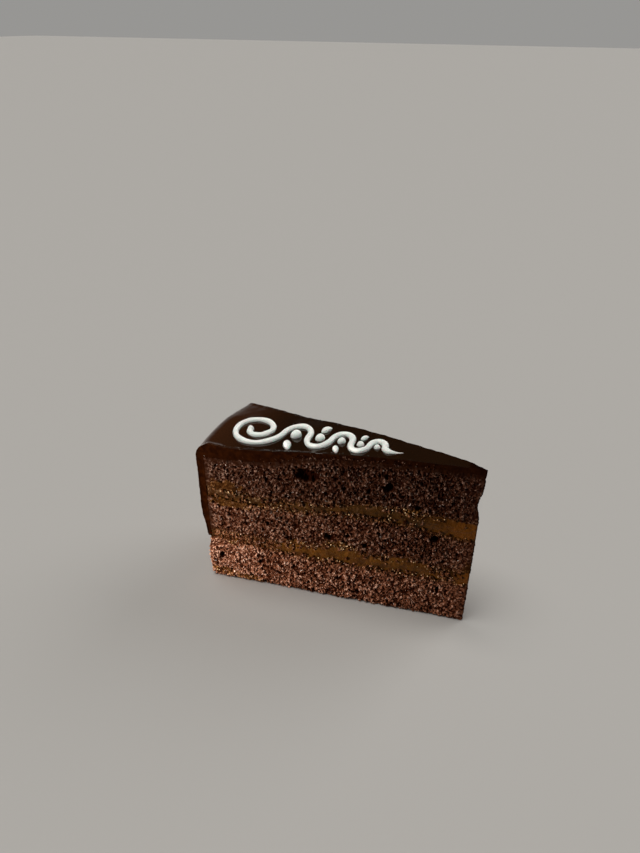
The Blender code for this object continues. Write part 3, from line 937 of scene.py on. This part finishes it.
def bead_widths(count, tail):
    """Half width along a stroke: a blob at its start, a hand's unevenness, and a round end or a tail."""
    widths = []
    for i in range(count):
        from_start, from_end = i * BEAD_STEP / BEAD_RADIUS, (count - 1 - i) * BEAD_STEP / BEAD_RADIUS
        width = 1.0 + 0.2 * noise.noise(Vector((i * BEAD_STEP / MM / 4.0, 2.0, 0.0)))
        width += 0.22 * math.exp(-((from_start - 1.0) ** 2))
        width *= math.sqrt(max(0.02, 1.0 - max(0.0, 1.0 - from_start) ** 2))
        if tail:
            width *= 0.22 + 0.78 * smooth_step(from_end / 5.0)
        width *= math.sqrt(max(0.02, 1.0 - max(0.0, 1.0 - from_end * (3.0 if tail else 1.0)) ** 2))
        widths.append(BEAD_RADIUS * width)
    return widths


def icing_finish():
    """White sugar icing with a satin skin."""
    finish, tree, place = new_finish(
        "sugar_icing", Roughness=0.38, Subsurface_Weight=0.7, Subsurface_Scale=0.0022,
        Subsurface_Radius=(0.8, 1.0, 0.95),
    )
    colour = blend(tree, speckle(tree, place, 3.0), (0.78, 0.88, 0.84), (0.87, 0.95, 0.91))
    feed(tree, Base_Color=colour, Normal=raised(tree, speckle(tree, place, 0.9, 2.0), 0.00008))
    return finish


sugar_icing = icing_finish()


def serve_icing(piece, node):
    """Gives a piped piece its finish and its place in the frame."""
    piece.data.materials.append(sugar_icing)
    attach(piece, "root")
    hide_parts(node)


stem_path = stem_points()
serve_icing(piped_mesh("piped_stem", stem_path, bead_widths(len(stem_path), tail=True)), "icing_stem")


def drop_mesh(name, centre, across, length, width, heading):
    """One squeeze of the bag: a pearl, or a leaf drawn off to a thin end."""
    path, widths = [], []
    for i in range(DROP_STEPS + 1):
        share = i / DROP_STEPS
        offset = -math.cos(math.pi * share) * length / 2
        path.append((centre + math.cos(heading) * offset, across + math.sin(heading) * offset))
        round_end = math.sqrt(max(0.0, 1.0 - (2.0 * offset / length) ** 2))
        taper = 1.0 - 0.65 * smooth_step(share * 1.1 - 0.3) if length > width else 1.0
        widths.append(max(width / 2 * round_end * taper, 0.02 * MM))
    return piped_mesh(name, path, widths)


for number, (centre, half, side) in enumerate(arcs, start=1):
    size = PEARL_SIZE * half
    pearl = drop_mesh(f"piped_pearl_{number}", centre, 0.0, size, size, 0.0)
    serve_icing(pearl, f"icing_pearl_{number}")
    if number < ARC_COUNT:
        long, leaf_name = LEAF_LENGTH * half, f"piped_leaf_{number}"
        across = -side * (0.8 * half + 0.55 * long)
        leaf = drop_mesh(leaf_name, centre, across, long, LEAF_WIDTH * long, -side * LEAF_HEADING)
        serve_icing(leaf, f"icing_leaf_{number}")


# ---- Crumbs, beads of jam and drops of glaze ---------------------------------------------------------
# The knife pressed crumbs into the soft jam, and left small wet beads of jam beside it and in its stains.
# Crumbs also cling to the cut glaze just above the sponge, and drops of glaze hang on its sharp top edge.

CUTS = ((-1, "front"), (1, "back"))
GLAZE_CRUMBS = 170  # on each cut
GLAZE_DROPS = 60  # on each cut
FULL_TURN = 6.3

# Layer, solid, cut, stretch from the axis in mm, crumbs, beads, and the part that lies out on the jam
LUMPS = (
    ("upper", "jam_upper", -1, (3.0, 17.0), 14, 5, 0.05),
    ("upper", "jam_upper", -1, (17.0, 44.0), 60, 20, 0.3),
    ("upper", "jam_upper", -1, (44.0, 68.0), 50, 17, 0.15),
    ("upper", "jam_upper", -1, (68.0, 81.0), 80, 20, 0.5),
    ("upper", "jam_upper", -1, (81.0, 101.0), 20, 7, 0.1),
    ("upper", "jam_upper", -1, (87.0, 99.0), 16, 4, 0.7),
    ("lower", "jam_lower", -1, (3.0, 7.0), 6, 3, 0.2),
    ("lower", "jam_lower", -1, (7.0, 16.0), 60, 18, 0.9),
    ("lower", "jam_lower", -1, (16.0, 34.0), 36, 18, 0.1),
    ("lower", "jam_lower", -1, (34.0, 62.0), 60, 24, 0.2),
    ("lower", "jam_lower", -1, (62.0, 76.0), 40, 8, 0.3),
    ("lower", "jam_lower", -1, (76.0, 101.0), 340, 10, 0.9),
    ("upper", "jam_upper", 1, (3.0, 101.0), 220, 60, 0.5),
    ("lower", "jam_lower", 1, (3.0, 101.0), 220, 60, 0.5),
)
lump_dice = random.Random(5)


def round_shape(subdivisions):
    """Points and faces of a ball of radius 1."""
    ball = bmesh.new()
    bmesh.ops.create_icosphere(ball, subdivisions=subdivisions, radius=1.0)
    points = [vertex.co.copy() for vertex in ball.verts]
    faces = [tuple(vertex.index for vertex in face.verts) for face in ball.faces]
    ball.free()
    return points, faces


PLAIN_BALL = round_shape(2)
FINE_BALL = round_shape(3)


def jam_place(solid, side, stretch, spread):
    """A random place on a cut: at an edge of the jam, or with spread somewhere on the jam."""
    r = lump_dice.uniform(*stretch) * MM
    x, y = polar(r, side * HALF_ANGLE)
    low, high = (layer_height(solid, x, y, upper) for upper in (False, True))
    share = lump_dice.choice((0.0, 1.0)) + lump_dice.gauss(0.0, 0.12)
    if lump_dice.random() < spread:
        share = lump_dice.uniform(-0.1, 1.1)
    return Vector((x, y, low + (high - low) * share))


def lump_mesh(name, places, side, sizes, proud, wet, ball=PLAIN_BALL, rough=0.0):
    """One mesh of small uneven lumps, stuck on a cut. Their sizes and how proud they stand are in mm, and
    their marks are those of crumb: each lump is darkened by a random amount of painted shade."""
    points, faces, painted_shade_depths = [], [], []
    ball_points, ball_faces = ball
    out = Vector((math.sin(HALF_ANGLE), side * math.cos(HALF_ANGLE), 0.0))
    for place in places:
        size = lump_dice.uniform(*sizes) * MM / 2
        turn = Matrix.Rotation(lump_dice.uniform(0.0, FULL_TURN), 3, Vector(noise.random_unit_vector()))
        shape = Vector([lump_dice.uniform(0.7, 1.3) for _ in range(3)])
        centre = place + out * (lump_dice.uniform(*proud) * MM)
        start = len(points)
        for corner in ball_points:
            uneven = 1.0 + 0.4 * noise.noise(corner * 1.6 + place * 900.0)
            uneven += rough * noise.noise(corner * 3.7 + place * 1300.0)
            points.append(centre + turn @ (corner * shape) * size * uneven)
        faces += [tuple(start + i for i in face) for face in ball_faces]
        # Each lump is darkened by a random amount of painted shade.
        painted_shade_depths += [lump_dice.uniform(0.25, 0.8)] * len(ball_points)
    return make_piece(name, points, faces, {"wet": [wet] * len(points), "depth_and_painted_shade": painted_shade_depths})


def bead_finish():
    """Glossy beads of jam, paler than the jam, with pale spots that are painted glints."""
    finish, tree, place = new_finish(
        "jam_bead_painted_glint", Specular_IOR_Level=0.7, Specular_Tint=(1.0, 0.82, 0.6, 1.0), Roughness=0.14
    )
    tone = speckle(tree, place, 1.4, 1.0).between(0.4, 0.6)
    # Pale spots on the beads: painted glints.
    feed(tree, Base_Color=blend(tree, tone, (0.18, 0.085, 0.028), (0.62, 0.43, 0.25)))
    return finish


jam_bead_painted_glint = bead_finish()


def serve_lumps(lumps, finish):
    """Gives lumps their finish and their place in the frame."""
    lumps.data.materials.append(finish)
    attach(lumps, "root")


for side, cut_name in CUTS:
    for layer, fallen_from in (("lower", "crumb_bottom"), ("upper", "crumb_middle")):
        crumb_places, bead_places = [], []
        for layer_name, solid, on_side, stretch, crumb_count, bead_count, spread in LUMPS:
            if (layer_name, on_side) == (layer, side):
                crumb_places += [jam_place(solid, side, stretch, spread) for _ in range(crumb_count)]
                bead_places += [jam_place(solid, side, stretch, spread) for _ in range(bead_count)]
        crumbs = lump_mesh(
            f"crumbs_{layer}_{cut_name}", crumb_places, side, (0.5, 1.35), (-0.55, 0.0), wet=0.7,
            ball=FINE_BALL, rough=0.75,
        )
        serve_lumps(crumbs, bpy.data.materials["chocolate_" + fallen_from])
        beads_name = f"beads_{layer}_{cut_name}"
        beads = lump_mesh(beads_name, bead_places, side, (0.22, 0.55), (-0.1, 0.12), wet=1.0)
        serve_lumps(beads, jam_bead_painted_glint)


def glaze_edge_place(side):
    """A random place on a cut, a little above where the glaze meets the sponge."""
    x, y = polar(lump_dice.triangular(8.0, 97.0, 55.0) * MM, side * HALF_ANGLE)
    z = layer_height("sponge_top", x, y, upper=True) + lump_dice.triangular(-0.4, 2.2, 0.0) * MM
    return Vector((x, y, z))


for side, cut_name in CUTS:
    places = [glaze_edge_place(side) for _ in range(GLAZE_CRUMBS)]
    crumbs = lump_mesh(
        f"crumbs_glaze_{cut_name}", places, side, (0.3, 0.8), (-0.15, 0.1), wet=0.0, rough=0.5,
    )
    serve_lumps(crumbs, bpy.data.materials["chocolate_crumb_top"])


def glaze_rim_place(side):
    """A random place on the top edge of the glaze where the knife went through."""
    r = lump_dice.triangular(34.0, 101.0, 97.0) * MM
    return glaze_top(*polar(r, side * (HALF_ANGLE - 0.4 * MM / r)))


for side, cut_name in CUTS:
    places = [glaze_rim_place(side) for _ in range(GLAZE_DROPS)]
    drops = lump_mesh(f"drops_glaze_{cut_name}", places, side, (0.3, 0.75), (-0.3, 0.3), wet=0.0)
    serve_lumps(drops, glaze.data.materials[0])


def stain_places():
    """Random places on the jam stains of the front cut."""
    places = []
    for stain_r, stain_z, half_width, half_height, _, bead_count in JAM_STAINS:
        for _ in range(bead_count):
            turn, share = lump_dice.uniform(0.0, 2 * math.pi), math.sqrt(lump_dice.random())
            r = stain_r + half_width * share * math.cos(turn)
            z = max(stain_z + half_height * share * math.sin(turn), 0.8)
            places.append(Vector((*polar(min(max(r, 3.0), 101.5) * MM, -HALF_ANGLE), z * MM)))
    return places


beads = lump_mesh("beads_stains_front", stain_places(), -1, (0.22, 0.5), (0.1, 0.3), wet=1.0)
serve_lumps(beads, jam_bead_painted_glint)
